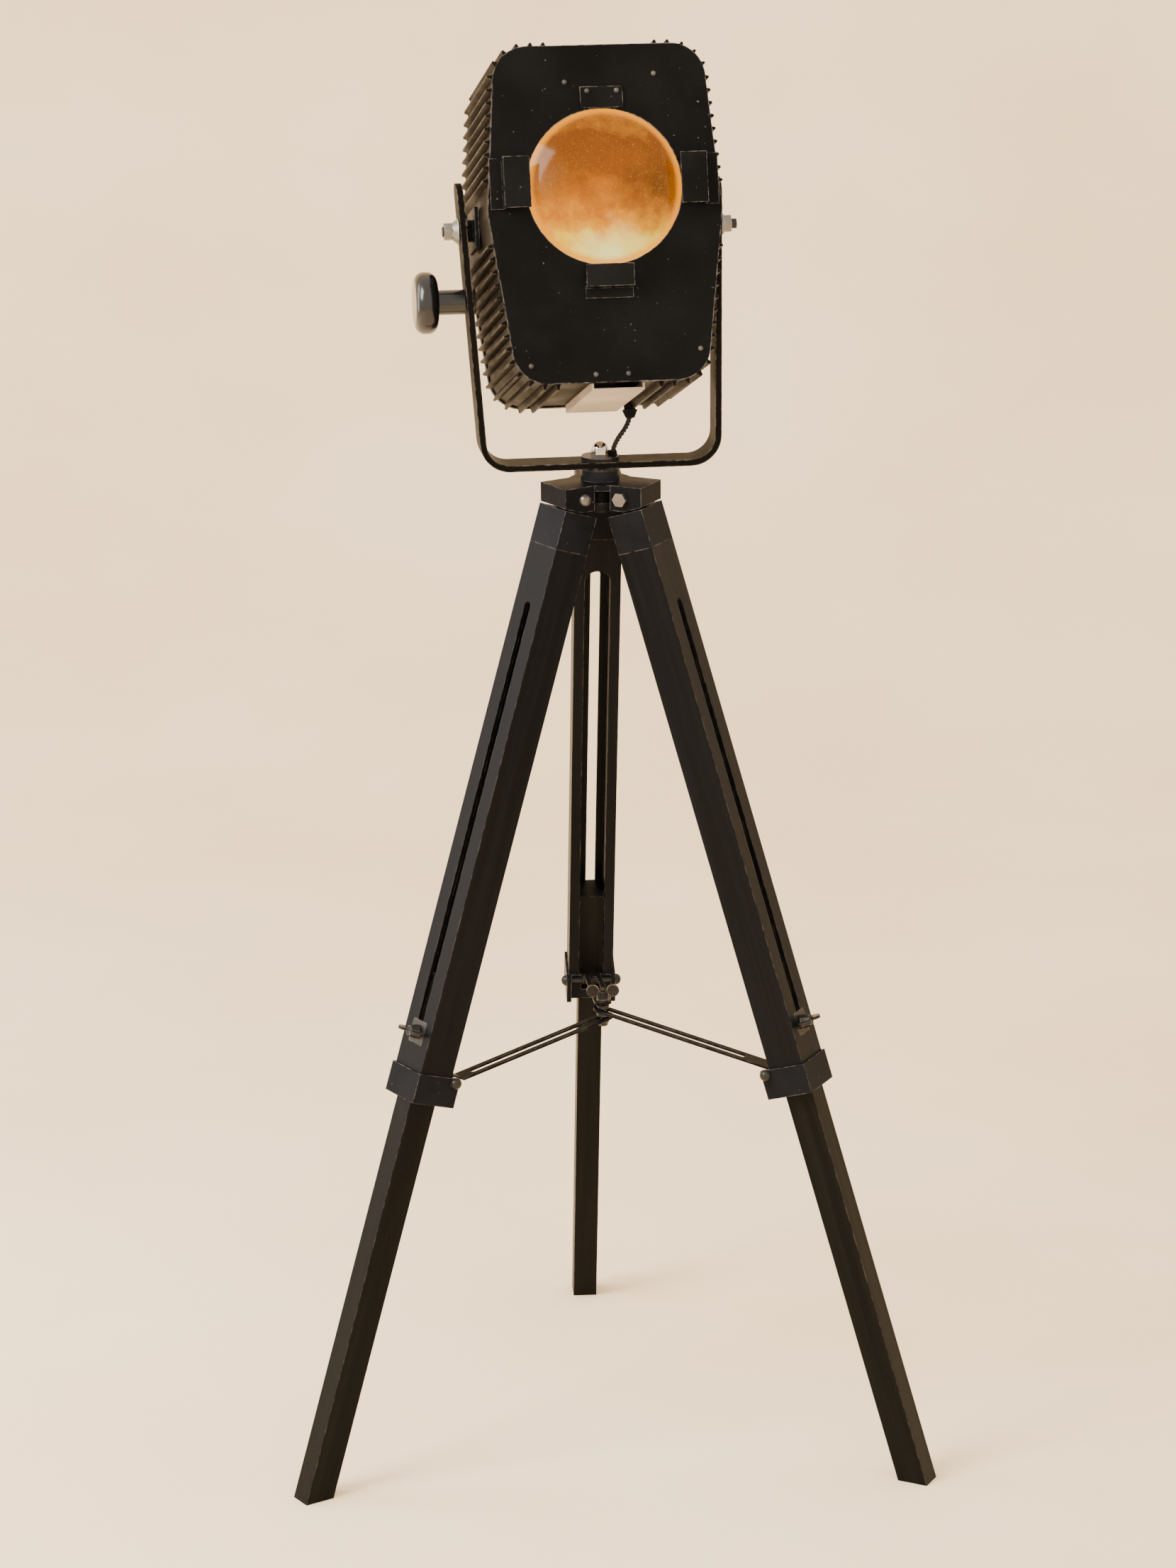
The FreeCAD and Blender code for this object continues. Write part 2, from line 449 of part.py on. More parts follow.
# Tilt lock: threaded bush in the left arm, and a mushroom knob on a thick stem.
arm_face = knob_arm + t / lean_cos + S.stem_radius * lean
inside_face = knob_arm - t / lean_cos - S.bush_radius * lean
bush = Part.makeCylinder(S.bush_radius, S.bush_thick, V(-inside_face, 0, knob_height), V(1, 0, 0))
bush = bush.cut(Part.makeCylinder(stem_bore + S.fit_gap, 80, V(-inside_face - 40, 0, knob_height), V(1, 0, 0)))
sub_part("tilt_lock_bush", coded("bush", bush), yoke_place)
knob_base = arm_face + 0.3 + S.stem_length
knob = Part.makeCylinder(S.knob_radius, S.knob_thick, V(-knob_base - S.knob_thick, 0, knob_height), V(1, 0, 0))
knob = knob.makeFillet(S.knob_thick / 2 - 1.5, [e for e in knob.Edges if e.Closed and e.Curve.TypeId == "Part::GeomCircle"])
stem = Part.makeCylinder(S.stem_radius, S.stem_length + 2, V(-knob_base - 1, 0, knob_height), V(1, 0, 0))
stem = stem.cut(Part.makeBox(10, 60, 60, V(-arm_face - 0.3, -30, knob_height - 30)))
screw = Part.makeCylinder(stem_bore, knob_base - inside_face + S.bush_thick, V(-knob_base, 0, knob_height), V(1, 0, 0))
sub_part("tilt_lock_knob", coded("knob", knob.fuse([stem, screw]).removeSplitter()), yoke_place)

# ---------------------------------------------------------------- lamp head
# Head frame: pivot axis along x, front along -y.


def barrel(offset):
    """Corners of the barrel outline, moved outward by offset, clockwise from the top left."""
    return [(-S.face_top_half - offset, S.face_top + offset), (S.face_top_half + offset, S.face_top + offset),
            (S.face_wide_half + offset, 0), (S.face_bottom_half + offset, -S.face_bottom - offset),
            (-S.face_bottom_half - offset, -S.face_bottom - offset), (-S.face_wide_half - offset, 0)]


def barrel_wire(offset):
    corner = S.face_corner + offset
    return rounded(barrel(offset), [corner, corner, corner, corner, corner, corner])


def prism(wire, start, depth):
    body = Part.Face(wire).extrude(V(0, depth, 0))
    body.translate(V(0, start, 0))
    return body


def fin_outline():
    """The barrel outline with triangular fins all round, except the plain stretches."""
    base = barrel_wire(-1.5)
    count = int(round(base.Length / (S.fin_pitch / 8)))
    spots = base.discretize(Number=count + 1)[:-1]
    spots = [V(p.x, 0, p.z) for p in spots]
    total = len(spots)
    start = min(range(total), key=lambda i: (abs(spots[i].x) if spots[i].z > 0 else 1e9))
    spots = spots[start:] + spots[:start]
    points = []
    walk = 0.0
    for i, spot in enumerate(spots):
        ahead = spots[(i + 1) % total] - spots[i - 1]
        ahead.normalize()
        out = V(-ahead.z, 0, ahead.x)
        if out.dot(V(spot.x, 0, spot.z)) < 0:
            out = out * -1
        plain = (spot.z > S.face_top - 8 and abs(spot.x) < S.plain_top_half)
        plain = plain or (spot.z < -S.face_bottom + 8 and abs(spot.x) < S.plain_bottom_half)
        plain = plain or abs(spot.z) < S.plain_side_half
        if i % 8 == 4 and not plain:
            points += [spot - ahead * (S.fin_base / 2), spot + out * S.fin_height - ahead * (S.fin_tip / 2),
                       spot + out * S.fin_height + ahead * (S.fin_tip / 2), spot + ahead * (S.fin_base / 2)]
        elif i % 8 == 0:
            points.append(spot)
    return Part.makePolygon(points + points[:1])


front = -S.front_depth
finned = prism(fin_outline(), front + S.rim_depth + 0.5, S.front_depth + S.rear_depth - 2 * S.rim_depth - 1)
tube = prism(barrel_wire(-S.sheet_thick), front + S.sheet_thick, S.front_depth + S.rear_depth - 2 * S.sheet_thick)
hollow = prism(barrel_wire(-S.sheet_thick - S.shell_wall), front, S.front_depth + S.rear_depth)
gland_y = S.rear_depth - 16
gland_x = 45.0
gland_hole = Part.makeCylinder(6.0, 30, V(gland_x, gland_y, -S.face_bottom - 15))
pivot_hole = Part.makeCylinder(S.pivot_radius + S.fit_gap, 400, V(-200, 0, 0), V(1, 0, 0))
shell = finned.fuse(tube).cut(hollow).cut(gland_hole).cut(pivot_hole)
sub_part("housing", coded("housing_shell", shell), head_place)


def cover(depth_at, inward):
    """A sheet cover: flat barrel face and a rim folded back over the housing's end."""
    face = prism(barrel_wire(0), depth_at if inward > 0 else depth_at - S.sheet_thick, S.sheet_thick)
    rim_start = depth_at if inward > 0 else depth_at - S.rim_depth
    rim = prism(barrel_wire(0), rim_start, S.rim_depth).cut(prism(barrel_wire(-S.sheet_thick), rim_start - 1, S.rim_depth + 2))
    return face.fuse(rim).removeSplitter()


front_cover = cover(front, 1)
opening = Part.makeCylinder(S.lens_radius - 2.5, 20, V(0, front - 5, S.lens_up), V(0, 1, 0))
sub_part("front_plate", coded("front_cover", front_cover.cut(opening)), head_place)
sub_part("rear_cover", coded("rear_cover_sheet", cover(S.rear_depth, -1)), head_place)

# Lens: plano-convex glass seated in the opening, on a flat ring behind the plate.
lens_step = S.lens_radius - 2.8
ball_radius = (lens_step ** 2 + S.lens_rise ** 2) / (2 * S.lens_rise)
lens_back = front + S.sheet_thick
ball = Part.makeSphere(ball_radius, V(0, front - S.lens_rise + ball_radius, S.lens_up))
slug = Part.makeCylinder(lens_step, S.lens_rise + S.sheet_thick + 1, V(0, front - S.lens_rise - 1, S.lens_up), V(0, 1, 0))
flange = Part.makeCylinder(S.lens_radius, S.lens_edge, V(0, lens_back, S.lens_up), V(0, 1, 0))
sub_part("lens", coded("lens_glass", ball.common(slug).fuse(flange).removeSplitter()), head_place)
ring = Part.makeCylinder(S.lens_radius + 5, S.lens_edge + 3, V(0, lens_back, S.lens_up), V(0, 1, 0))
ring = ring.cut(Part.makeCylinder(S.lens_radius + 0.3, S.lens_edge, V(0, lens_back, S.lens_up), V(0, 1, 0)))
ring = ring.cut(Part.makeCylinder(S.lens_radius - 6, 40, V(0, lens_back - 5, S.lens_up), V(0, 1, 0)))
sub_part("lens_ring", coded("lens_retainer", ring), head_place)

# Clips: bent channels riveted to the plate at both sides and below the lens, and a top tab.
clip_stand = 15.0


def clip(length, width, sheet_wall=2.0):
    """A channel along y of the given length; open on the side that faces the lens."""
    spine = Part.makeBox(sheet_wall, clip_stand, length, V(-sheet_wall, -clip_stand, -length / 2))
    lip = Part.makeBox(width, sheet_wall, length, V(-width, -clip_stand, -length / 2))
    foot = Part.makeBox(width * 0.55, sheet_wall, length, V(-sheet_wall, -sheet_wall, -length / 2))
    return spine.fuse([lip, foot]).removeSplitter()


clip_x = 100.0
clips = []
for side in (-1, 1):
    channel = clip(S.clip_width, 26.0)
    if side < 0:
        channel.rotate(V(0, 0, 0), V(0, 1, 0), 180)
    channel.translate(V(side * clip_x, front, 28))
    clips.append(coded("clip_side_%d" % (side + 1), channel))
low_clip = clip(S.clip_width - 3, 22.0)
low_clip.rotate(V(0, 0, 0), V(0, 1, 0), 90)
low_clip.translate(V(0, front, -S.lens_radius + S.lens_up - 20))
clips.append(coded("clip_low", low_clip))
tab = Part.makeBox(42, 2.0, 21, V(-20, front - 2.0, S.lens_up + S.lens_radius - 2.2))
clips.append(coded("clip_tab", tab))
sub_part("lens_clips", group("lens_clip_set", clips), head_place)
rivets = []
spots = [(-13, 116.5), (16, 116.5), (53.6, 132.4), (-34.4, 125.9), (-17, -160), (15, -160), (87, -138), (-80, -150)]
for step, (x, z) in enumerate(spots):
    lift = 2.0 if step < 2 else 0.0
    head = Part.makeSphere(2.6, V(0, 0, 0), V(0, 0, 1), 0, 90, 360)
    head.rotate(V(0, 0, 0), V(1, 0, 0), 90)
    head.translate(V(x, front - lift, z))
    rivets.append(coded("rivet_%d" % step, head))
sub_part("plate_rivets", group("plate_rivet_set", rivets), head_place)

# Tray under the housing: a shallow channel of pale sheet, and the gland for the lead.
under = -S.face_bottom + 1.5
tray_length = S.front_depth + S.rear_depth - 24
tray = Part.makeBox(52, tray_length, 8, V(-20, front + 12, under - 8))
tray = tray.cut(Part.makeBox(48, tray_length + 2, 6, V(-18, front + 11, under - 6)))
sub_part("bottom_tray", coded("tray", tray), head_place)
gland = Part.makeCone(8.0, 4.6, 8, V(gland_x, gland_y, under - 7.3), V(0, 0, -1))
gland = gland.fuse(Part.makeCylinder(5.9, 15.3, V(gland_x, gland_y, under - 7.3)))
gland = gland.cut(Part.makeCylinder(S.lead_diameter / 2 + 0.1, 7.3, V(gland_x, gland_y, under - 16)))
sub_part("lead_gland", coded("gland", gland), head_place)

# Pivots: plate and stud on each side of the housing, washer and nut outside the arm.
plates, studs, nuts = [], [], []
side_face = S.face_wide_half - 1.4
outside = arm_half + t / lean_cos
for side in (-1, 1):
    pad = Part.makeBox(4.0, 60, 40, V(0, -30, -20))
    pad = pad.fuse(Part.makeCylinder(11, arm_half - t - S.pivot_radius * lean - side_face - 1.4, V(0, 0, 0), V(1, 0, 0)))
    pad = pad.cut(Part.makeCylinder(S.pivot_radius + S.fit_gap, 40, V(-5, 0, 0), V(1, 0, 0)))
    stud = Part.makeCylinder(S.pivot_radius, outside + 17 - side_face + 14, V(-14, 0, 0), V(1, 0, 0))
    face_gap = 13 * lean + 0.3 if side < 0 else 0.3
    washer = Part.makeCone(13, 8, 6, V(outside - side_face + face_gap, 0, 0), V(1, 0, 0)) if side < 0 else \
        Part.makeCylinder(11, 3, V(outside - side_face + face_gap, 0, 0), V(1, 0, 0))
    washer = washer.cut(Part.makeCylinder(S.pivot_radius + S.fit_gap, 40, V(0, 0, 0), V(1, 0, 0)))
    start = outside - side_face + face_gap + (6 if side < 0 else 3)
    hexagon = Part.Face(Part.makePolygon([V(start, 9.2 * math.cos(math.radians(60 * i)),
                                            9.2 * math.sin(math.radians(60 * i))) for i in range(7)]))
    hexagon = hexagon.extrude(V(8, 0, 0)).cut(Part.makeCylinder(S.pivot_radius + S.fit_gap, 60, V(0, 0, 0), V(1, 0, 0)))
    for shape, store, word in ((pad, plates, "pad"), (stud, studs, "stud"), (washer, nuts, "washer"),
                               (hexagon, nuts, "hex")):
        if side < 0:
            shape.rotate(V(0, 0, 0), V(0, 0, 1), 180)
        shape.translate(V(side * side_face, 0, 0))
        store.append(coded("pivot_%s_%d" % (word, side + 1), shape))
sub_part("pivot_plates", group("pivot_plate_set", plates), head_place)
sub_part("pivot_studs", group("pivot_stud_set", studs), head_place)
sub_part("pivot_nuts", group("pivot_nut_set", nuts), head_place)

# Inside: reflector, lamp holder, bulb, bracket and terminal block.
lamp_z = S.lens_up - 4
bowl = Part.makeSphere(62, V(0, 8, lamp_z)).cut(Part.makeSphere(60.5, V(0, 8, lamp_z)))
bowl = bowl.cut(Part.makeBox(200, 200, 200, V(-100, -200 + 30, lamp_z - 100)))
bowl = bowl.cut(Part.makeCylinder(22, 60, V(0, 40, lamp_z), V(0, 1, 0)))
sub_part("reflector", coded("reflector_bowl", bowl), head_place)
holder_flange = 8 + math.sqrt(62 ** 2 - 22 ** 2)
holder = Part.makeCylinder(19, 40, V(0, 55, lamp_z), V(0, 1, 0))
holder = holder.fuse(Part.makeCylinder(26, 2.5, V(0, holder_flange, lamp_z), V(0, 1, 0)))
holder = holder.cut(Part.makeCylinder(13.05, 25, V(0, 54, lamp_z), V(0, 1, 0)))
sub_part("lamp_holder", coded("holder", holder), head_place)
glass = Part.makeSphere(30, V(0, 0, lamp_z)).fuse(Part.makeCone(22, 13, 35, V(0, 20, lamp_z), V(0, 1, 0)))
glass = glass.fuse(Part.makeCylinder(13, 24, V(0, 55, lamp_z), V(0, 1, 0)))
sub_part("bulb", coded("bulb_glass", glass), head_place)
floor_z = -S.face_bottom + S.sheet_thick + S.shell_wall
bracket = Part.makeBox(50, 60, 2, V(-25, 45, floor_z)).fuse(Part.makeBox(50, 2, lamp_z + 22 - floor_z, V(-25, 95, floor_z)))
sub_part("holder_bracket", coded("bracket", bracket.removeSplitter()), head_place)
sub_part("terminal_block", coded("terminals", Part.makeBox(36, 18, 16, V(-18, 60, floor_z + 2))), head_place)

# ---------------------------------------------------------------- lead
# Fabric-covered lead from the head's gland to the grommet; the points are set by hand
# against the way the lead hangs.
gland_tip = head_place.multVec(V(gland_x, gland_y, under - 15.0))
lead_start = head_place.multVec(V(gland_x, gland_y, under - 9.2))
lead_end = yoke_place.multVec(V(lead_x, lead_y, grommet_high - 2.5))
down = gland_tip - lead_start
down.normalize()
route = [lead_start, lead_start + down * 10.5, lead_end + V(0.9, 1.4, 9.0), lead_end]


def tube(points, diameter):
    """Straight runs joined by tangent arcs, swept by the lead's round section."""
    edges, last = [], points[0]
    for before, here, after in zip(points, points[1:], points[2:]):
        back, ahead = before - here, after - here
        turn = math.pi - back.getAngle(ahead)
        short = min(back.Length, ahead.Length)
        reach = 0.45 * short
        radius = reach / math.tan(turn / 2)
        print("lead radius %.1f, turn %.0f" % (radius, math.degrees(turn)))
        back.normalize()
        ahead.normalize()
        middle = (back + ahead)
        middle.normalize()
        centre = here + middle * (radius / math.cos(turn / 2))
        first, second = here + back * reach, here + ahead * reach
        edges.append(Part.LineSegment(last, first).toShape())
        edges.append(Part.Arc(first, centre - middle * radius, second).toShape())
        last = second
    edges.append(Part.LineSegment(last, points[-1]).toShape())
    path = Part.Wire(edges)
    section = Part.Wire(Part.Circle(points[0], points[1] - points[0], diameter / 2).toShape())
    body = path.makePipeShell([section], True, False)
    print("lead length %.1f, volume over section x length %.4f" % (
        path.Length, body.Volume / (math.pi * diameter ** 2 / 4 * path.Length)))
    return body


print("route", [[round(v - (axis_y if i == 1 else 0), 2) for i, v in enumerate(p)] for p in route])
sub_part("head_lead", coded("lead", tube(route, S.lead_diameter)))

# ---------------------------------------------------------------- check and write
doc.recompute()
for item in doc.Objects:
    if "Invalid" in item.State or "Error" in item.State:
        raise RuntimeError("%s failed: %s" % (item.Label, item.State))
os.makedirs("parts", exist_ok=True)
for piece in parts:
    if piece.Shape.isNull() or not piece.Shape.isValid():
        raise RuntimeError("%s has no valid shape" % piece.Label)
    piece.Shape.exportStep("parts/%s.step" % piece.Label)

# ---------------------------------------------------------------- joint lines for the record
print("axis_y %.4f rise %.4f pin_radial %.4f pin_height %.4f strip_reach %.3f" % (
    axis_y, rise, pin_radial, pin_height, strip_reach))
travel = (pin_radial - pin_folded) / math.cos(math.radians(rise))
print("hub travel %.3f ratio m/rad %.5f" % (travel, travel / folded / 1000))
for number in AZIMUTHS:
    h = leg_place(number).multVec(V(0, 0, 0))
    axis = leg_place(number).Rotation.multVec(V(0, 1, 0))
    out = leg_place(number).Rotation.multVec(V(1, 0, 0))
    up = leg_place(number).Rotation.multVec(V(0, 0, 1))
    along = strip_place(number).Rotation.multVec(V(1, 0, 0))
    pin = strip_place(number).multVec(V(0, 0, 0))
    screw = leg_place(number).multVec(V(S.leg_depth / 2, 0, -S.screw_at))
    for word, vec in (("hinge", h), ("t", axis), ("n", out), ("up", up), ("strip", along), ("pin", pin),
                      ("screw", screw)):
        print("J leg%d %s %.7f %.7f %.7f" % (number, word, vec.x, vec.y, vec.z))
pivot = head_place.multVec(V(0, 0, 0))
side = head_place.Rotation.multVec(V(1, 0, 0))
knob_at = yoke_place.multVec(V(-knob_base, 0, knob_height))
print("J head pivot %.7f %.7f %.7f" % (pivot.x, pivot.y, pivot.z))
print("J head side %.7f %.7f %.7f" % (side.x, side.y, side.z))
print("J head knob %.7f %.7f %.7f" % (knob_at.x, knob_at.y, knob_at.z))
print("J hub bolt %.7f %.7f %.7f" % (0, axis_y, S.hub_height))
print("J head up %.7f %.7f %.7f" % tuple(head_place.Rotation.multVec(V(0, 0, 1))))
print("levels bar_low %.3f bar_high %.3f top_face %.3f" % (bar_low, bar_high, top_face))
print("parts", len(parts))
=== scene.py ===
import bpy
import bmesh
import math
from mathutils import Matrix, Vector


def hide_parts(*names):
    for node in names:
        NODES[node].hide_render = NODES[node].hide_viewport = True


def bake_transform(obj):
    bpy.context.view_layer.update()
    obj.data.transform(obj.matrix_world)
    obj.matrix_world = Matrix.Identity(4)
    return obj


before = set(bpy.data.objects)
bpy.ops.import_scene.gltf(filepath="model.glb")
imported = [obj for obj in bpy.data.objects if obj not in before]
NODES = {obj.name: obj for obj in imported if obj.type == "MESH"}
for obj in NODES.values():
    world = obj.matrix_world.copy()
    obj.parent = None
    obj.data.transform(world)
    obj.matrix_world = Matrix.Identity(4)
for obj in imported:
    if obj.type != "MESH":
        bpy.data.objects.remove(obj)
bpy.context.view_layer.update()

# ------------------------------------------------------------------ camera
# A long lens from above eye height, looking down at the lamp's middle. Its turn and place
# were solved from points of the lamp in the picture; the post stands AXIS_Y off the origin.
LENS_MM, SENSOR_MM = 113.56, 36.0
CAMERA_SPOT = Vector((0.0, -4.8897, 2.1423))
PITCH, YAW, ROLL, LAMP_TURN = 0.2855, 0.0029, -0.0060, math.radians(3.66)
AXIS_Y = -0.088903
look = Matrix.Rotation(ROLL, 3, "Y") @ Matrix.Rotation(PITCH, 3, "X") @ Matrix.Rotation(-YAW, 3, "Z")
unturn = Matrix.Rotation(-LAMP_TURN, 3, "Z")
right, forward, up = (unturn @ row for row in look)
camera = bpy.data.objects.new("camera", bpy.data.cameras.new("camera"))
bpy.context.collection.objects.link(camera)
camera.data.sensor_fit = "VERTICAL"
camera.data.sensor_height = SENSOR_MM
camera.data.lens = LENS_MM
spot = unturn @ CAMERA_SPOT + Vector((0.0, AXIS_Y, 0.0))
axes = Matrix((right, up, -forward)).transposed()
camera.matrix_world = Matrix.Translation(spot) @ axes.to_4x4()
bpy.context.scene.camera = camera

# ------------------------------------------------------------------ lead
# Short lead from the head's gland to the swivel: three fabric-covered strands twisted
# together, running between the yoke and the head.
LEAD_ROUTE = [(0.03292, -0.05122, 1.08945), (0.03317, -0.05446, 1.07947), (0.01416, -0.08249, 1.06320),
              (0.01326, -0.08389, 1.05420)]
LEAD_DIAMETER = 0.0054
STRANDS, STRAND_TURNS, STRAND_SIDES = 3, 4.5, 10
STRAND_SHARE = 0.56
ROUTE_STEPS = 40


def hex_colour(text):
    """A hex sRGB colour as linear values, opaque."""
    values = [int(text[i:i + 2], 16) / 255 for i in (1, 3, 5)]
    linear = [v / 12.92 if v <= 0.04045 else ((v + 0.055) / 1.055) ** 2.4 for v in values]
    return (*linear, 1.0)


def add(tree, kind, output, inputs, **settings):
    """Adds a node, makes its settings, sets or links its inputs, and gives one of its outputs."""
    made = tree.nodes.new(kind)
    for key, value in settings.items():
        setattr(made, key, value)
    for key, value in inputs.items():
        if isinstance(value, bpy.types.NodeSocket):
            tree.links.new(value, made.inputs[key])
        else:
            made.inputs[key].default_value = value
    return made.outputs[output]


def material(name):
    """An empty node material: its tree, its shader and the object coordinates."""
    made = bpy.data.materials.new(name)
    made.use_nodes = True
    tree = made.node_tree
    return made, tree, tree.nodes["Principled BSDF"], add(tree, "ShaderNodeTexCoord", "Object", {})


def layered(tree, colour, layers):
    """Lays each tint over the colour, by its own amount from 0 to 1."""
    for amount, tint in layers:
        colour = add(tree, "ShaderNodeMix", 2, {0: amount, 6: colour, 7: hex_colour(tint)}, data_type="RGBA")
    return colour


def route_points(points, steps):
    """Points along the smooth NURBS line through a lead's route."""
    curve = bpy.data.curves.new("route", "CURVE")
    curve.dimensions = "3D"
    spline = curve.splines.new("NURBS")
    spline.points.add(len(points) - 1)
    for target, point in zip(spline.points, points):
        target.co = (*point, 1.0)
    spline.order_u = 3
    spline.use_endpoint_u = True
    spline.resolution_u = steps
    holder = bpy.data.objects.new("route", curve)
    bpy.context.collection.objects.link(holder)
    bpy.context.view_layer.update()
    line = bpy.data.meshes.new_from_object(holder.evaluated_get(bpy.context.evaluated_depsgraph_get()))
    found = [v.co.copy() for v in line.vertices]
    bpy.data.objects.remove(holder)
    return found


def ring_at(middle, one, two, radius, sides):
    """Points of a circle round a middle, in the plane of two directions."""
    angles = [math.tau * s / sides for s in range(sides)]
    return [middle + (one * math.cos(angle) + two * math.sin(angle)) * radius for angle in angles]


def twisted_tube(name, centre, radius, strands, turns, sides):
    """Strands twisted round a centre line, each a closed tube."""
    build = bmesh.new()
    strand_radius = radius * STRAND_SHARE
    offset = radius - strand_radius
    side = Vector((1, 0, 0))
    last = len(centre) - 1
    frames = []
    for i, point in enumerate(centre):
        along = (centre[min(i + 1, last)] - centre[max(i - 1, 0)]).normalized()
        side = (side - along * side.dot(along)).normalized()
        frames.append((point, side.copy(), along.cross(side)))
    for strand in range(strands):
        rings = []
        for i, (point, one, two) in enumerate(frames):
            turn = math.tau * (turns * i / last + strand / strands)
            middle = point + (one * math.cos(turn) + two * math.sin(turn)) * offset
            rings.append([build.verts.new(spot) for spot in ring_at(middle, one, two, strand_radius, sides)])
        for low, high in zip(rings, rings[1:]):
            for s in range(sides):
                build.faces.new((low[s], low[(s + 1) % sides], high[(s + 1) % sides], high[s]))
        build.faces.new(list(reversed(rings[0])))
        build.faces.new(rings[-1])
    mesh = bpy.data.meshes.new(name)
    build.normal_update()
    build.to_mesh(mesh)
    build.free()
    mesh.shade_smooth()
    made = bpy.data.objects.new(name, mesh)
    bpy.context.collection.objects.link(made)
    return made


fabric, tree, shader, place = material("lead_fabric")
weave = add(tree, "ShaderNodeTexWave", "Fac", {"Vector": place, "Scale": 420.0, "Distortion": 1.5},
            bands_direction="DIAGONAL")
fleck = add(tree, "ShaderNodeTexNoise", "Fac", {"Vector": place, "Scale": 1500.0, "Detail": 2.0,
                                                "Roughness": 0.55})
threads = add(tree, "ShaderNodeMath", "Value", {0: weave, 1: fleck}, operation="MULTIPLY")
ridges = add(tree, "ShaderNodeBump", "Normal", {"Height": threads, "Strength": 0.5, "Distance": 0.0005})
tree.links.new(layered(tree, hex_colour("#0e0e0e"), [(weave, "#2c2a28")]), shader.inputs["Base Color"])
tree.links.new(ridges, shader.inputs["Normal"])
shader.inputs["Roughness"].default_value = 0.85
centre = route_points(LEAD_ROUTE, ROUTE_STEPS)
lead = twisted_tube("lead_twisted", centre, LEAD_DIAMETER / 2, STRANDS, STRAND_TURNS, STRAND_SIDES)
lead.data.materials.append(fabric)
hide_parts("head_lead")
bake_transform(lead)

# ------------------------------------------------------------------ tripod head
# Cast plate and swivel under worn black paint; the cap nut is bright plated steel and
# the hinge bolts are dull steel.
PATCH_SCALE, SCUFF_SCALE, SPECK_SCALE = 14.0, 120.0, 260.0
GRAIN_DEPTH = 0.0004
HARD_EDGE, EDGE_SEGMENTS = math.radians(50), 2


def edges(tree, radius):
    """1 along outside edges, 0 on flat faces, from the difference a rounded normal makes."""
    rounded = add(tree, "ShaderNodeBevel", "Normal", {"Radius": radius}, samples=4)
    flat = add(tree, "ShaderNodeNewGeometry", "Normal", {})
    same = add(tree, "ShaderNodeVectorMath", "Value", {0: rounded, 1: flat}, operation="DOT_PRODUCT")
    return add(tree, "ShaderNodeMapRange", "Result", {"Value": same, "From Min": 0.995, "From Max": 0.93},
               clamp=True)


def blotches(tree, place, scale, detail, rough, low, high, least=0.0, most=1.0):
    """Soft-edged blotches: noise, with its values from low to high turned into least to most."""
    cloud = add(tree, "ShaderNodeTexNoise", "Fac", {"Vector": place, "Scale": scale, "Detail": detail,
                                                    "Roughness": rough})
    return add(tree, "ShaderNodeMapRange", "Result", {"Value": cloud, "From Min": low, "From Max": high,
                                                      "To Min": least, "To Max": most}, clamp=True)


def painted(name, base, patch, worn, rough=0.42, wear=0.6, grain=900.0, metallic=0.0, edge=0.0012,
            bump=0.12, shine=0.03):
    """Paint or plating: patches about 70 mm across, grain cells to the metre, and rubbed edges."""
    made, tree, shader, place = material(name)
    broad = blotches(tree, place, PATCH_SCALE, 4.0, 0.55, 0.38, 0.66)
    scuffs = blotches(tree, place, SCUFF_SCALE, 6.0, 0.7, 0.42, 0.62, 0.0, wear)
    specks = blotches(tree, place, SPECK_SCALE, 2.0, 0.4, 0.74, 0.8, 0.0, 0.35 * wear)
    rubbed = add(tree, "ShaderNodeMath", "Value", {0: edges(tree, edge), 1: scuffs}, operation="MULTIPLY")
    colour = layered(tree, hex_colour(base), [(broad, patch), (rubbed, worn), (specks, worn)])
    tree.links.new(colour, shader.inputs["Base Color"])
    gloss = add(tree, "ShaderNodeMapRange", "Result", {"Value": broad, "To Min": rough - 0.07,
                                                       "To Max": rough + 0.09}, clamp=True)
    tree.links.new(gloss, shader.inputs["Roughness"])
    shader.inputs["Metallic"].default_value = metallic
    shader.inputs["Specular IOR Level"].default_value = shine
    fine = add(tree, "ShaderNodeTexNoise", "Fac", {"Vector": place, "Scale": grain, "Detail": 3.0,
                                                   "Roughness": 0.55})
    grained = add(tree, "ShaderNodeBump", "Normal", {"Height": fine, "Strength": bump,
                                                     "Distance": GRAIN_DEPTH})
    tree.links.new(grained, shader.inputs["Normal"])
    return made


def dress(names, made, bevel=0.0):
    """Gives CAD nodes their material, and a small rounding on hard edges where asked."""
    for name in names:
        node = NODES[name]
        node.data.materials.clear()
        node.data.materials.append(made)
        if bevel:
            soft = node.modifiers.new("edge", "BEVEL")
            soft.width = bevel
            soft.segments = EDGE_SEGMENTS
            soft.limit_method = "ANGLE"
            soft.angle_limit = HARD_EDGE


casting = painted("casting_paint", "#0b0c0e", "#131417", "#8d8a86", rough=0.4, wear=0.55, bump=0.2)
dress(["head_casting"], casting, 0.0012)
dress(["swivel_collar"], painted("swivel_paint", "#17181a", "#222326", "#77736e", rough=0.34), 0.0006)
dress(["pan_bolt"], painted("flange_paint", "#1d1d1e", "#292929", "#8a857e", rough=0.36))
dress(["pan_cap_nut"], painted("bright_cap", "#b9b6b0", "#d9d6d0", "#f0ede8", rough=0.16, wear=0.3,
                              metallic=1.0, bump=0.03))
dress(["leg_hinge_bolts"], painted("bolt_steel", "#5a5753", "#7b7772", "#b5b0a8", rough=0.34, metallic=0.9))

